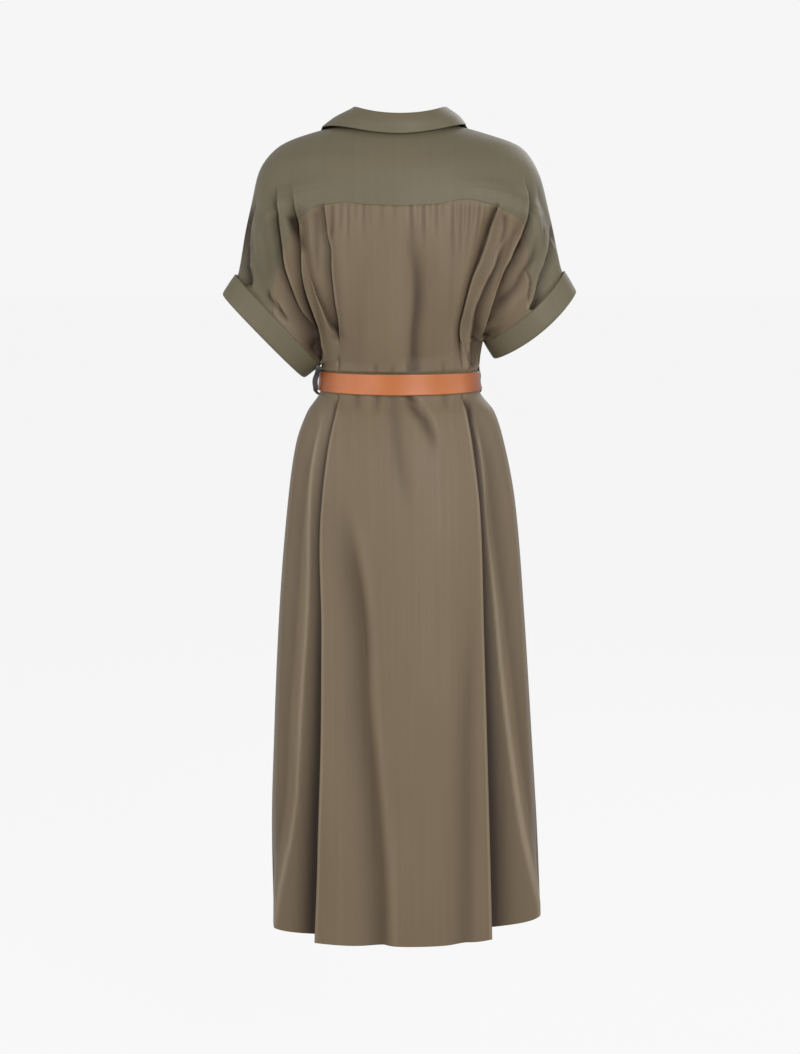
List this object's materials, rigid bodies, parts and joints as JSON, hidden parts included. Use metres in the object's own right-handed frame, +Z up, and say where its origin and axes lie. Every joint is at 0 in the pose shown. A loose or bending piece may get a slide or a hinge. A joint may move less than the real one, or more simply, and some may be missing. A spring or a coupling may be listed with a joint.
{
  "type": "shirt dress",
  "caption": "Belted midi shirt dress, filled out as if worn, with a turned-down collar, a back yoke, turned-up short sleeves, a buttoned front and back skirt pleats.",
  "frame": {"origin": "between the shoulders, at the height where the shoulder seams meet the neck", "axes": "+Z up, +Y to the wearer's back, +X to the wearer's left"},
  "size_m": [0.5154, 0.3204, 1.2131],
  "materials": {
    "body_crepe": "soft satin-faced crepe, khaki brown",
    "trim_crepe": "soft satin-faced crepe, olive brown",
    "loop_cloth": "matt, dark olive",
    "belt_leather": "smooth tan, semi-gloss",
    "buckle_brass": "polished, pale gold",
    "button_horn": "semi-gloss, dark brown"
  },
  "bodies": {
    "root": {"back_panel": "body_crepe", "front_left": "body_crepe", "front_right": "body_crepe", "back_yoke": "trim_crepe", "collar": "trim_crepe", "cuff_left": "trim_crepe", "cuff_right": "trim_crepe", "belt_loop_left": "loop_cloth", "belt_loop_right": "loop_cloth", "belt": "belt_leather", "keeper": "belt_leather", "buckle": "buckle_brass", "prong": "buckle_brass", "button_1": "button_horn", "button_2": "button_horn", "button_3": "button_horn", "button_4": "button_horn", "button_5": "button_horn", "button_6": "button_horn", "button_7": "button_horn", "button_8": "button_horn"}
  },
  "joints": []
}
